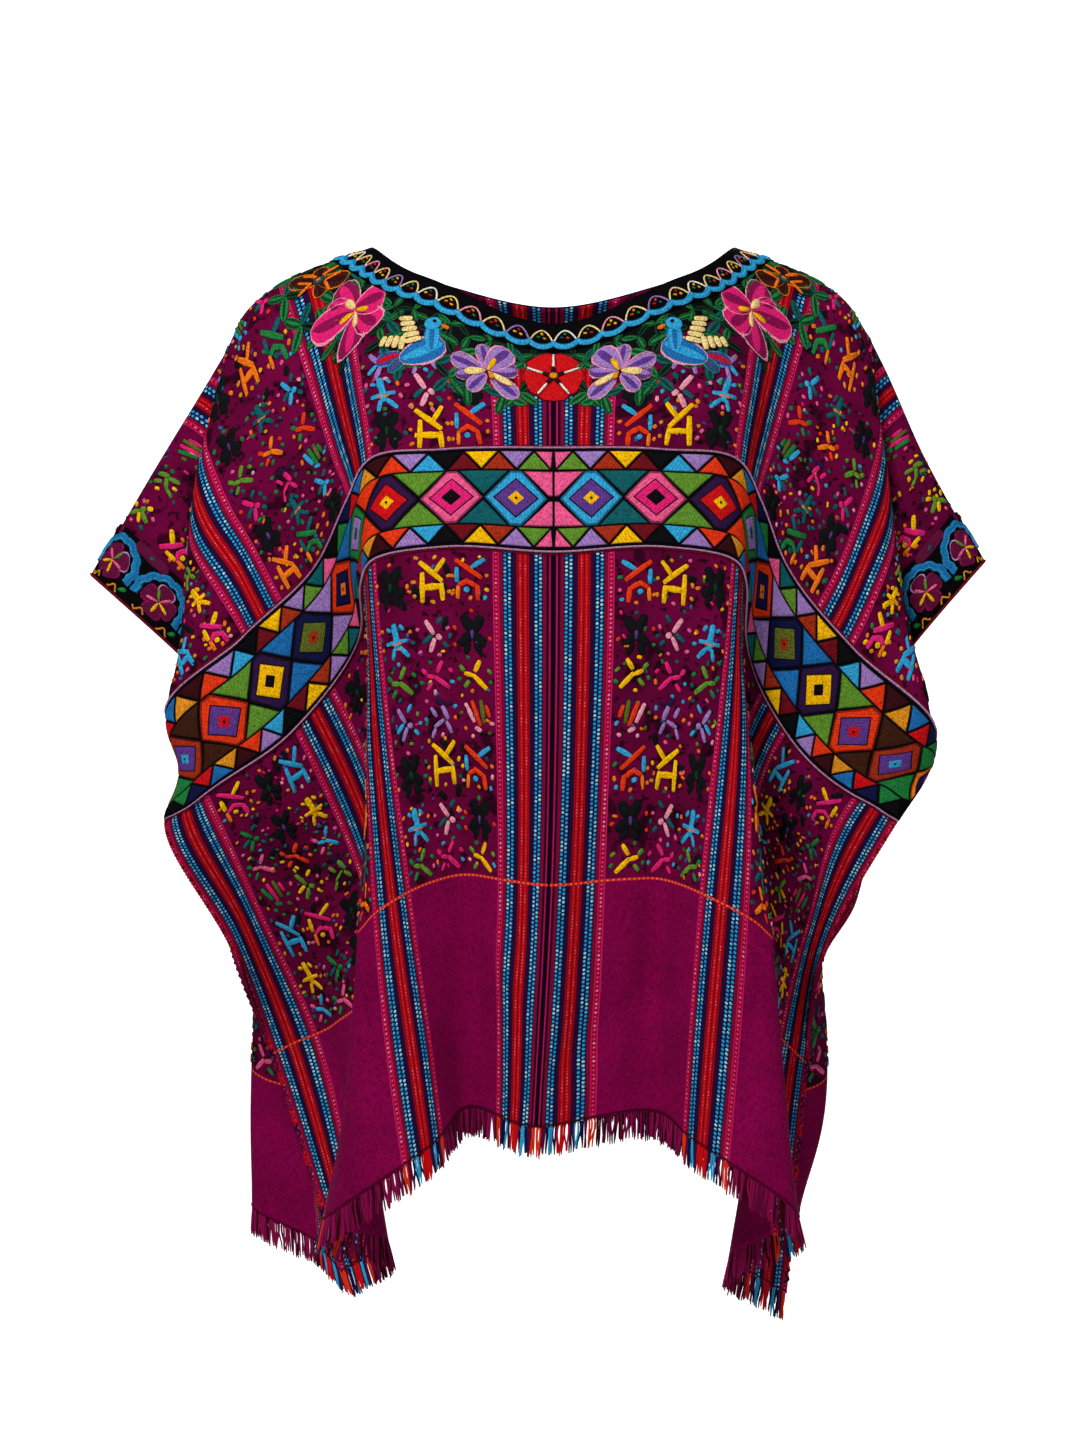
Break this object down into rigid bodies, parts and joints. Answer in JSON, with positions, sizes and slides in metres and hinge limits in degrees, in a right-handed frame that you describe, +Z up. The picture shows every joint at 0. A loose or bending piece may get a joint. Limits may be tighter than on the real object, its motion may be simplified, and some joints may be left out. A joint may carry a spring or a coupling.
{
  "type": "huipil blouse",
  "caption": "Loose brocaded huipil blouse in its worn form: loom panels folded over the shoulders, with chest bands, neck ring, armhole trims and fringed hem.",
  "frame": {"origin": "middle of the neck hole at the height of the two shoulder ends of the neck edge, where the wearer's shoulders hold the blouse", "axes": "+X to the viewer's right as the front is seen, -Y out of the front, +Z up"},
  "size_m": [0.5924, 0.2728, 0.7062],
  "materials": {
    "panel": "matte handwoven cotton with brocaded weft, wine magenta with stripe groups",
    "black_trim": "matte black cotton with satin stitch embroidery",
    "band": "satin stitched diamonds and triangles in many colours",
    "fringe": "matte cut warp ends, magenta with coloured locks below the stripe groups"
  },
  "bodies": {
    "root": {"left_panel": "panel", "right_panel": "panel", "neck_trim": "black_trim", "armhole_trim_left": "black_trim", "armhole_trim_right": "black_trim", "chest_band_front": "band", "chest_band_back": "band", "fringe_front_left": "fringe", "fringe_front_right": "fringe", "fringe_back_left": "fringe", "fringe_back_right": "fringe"}
  },
  "joints": []
}
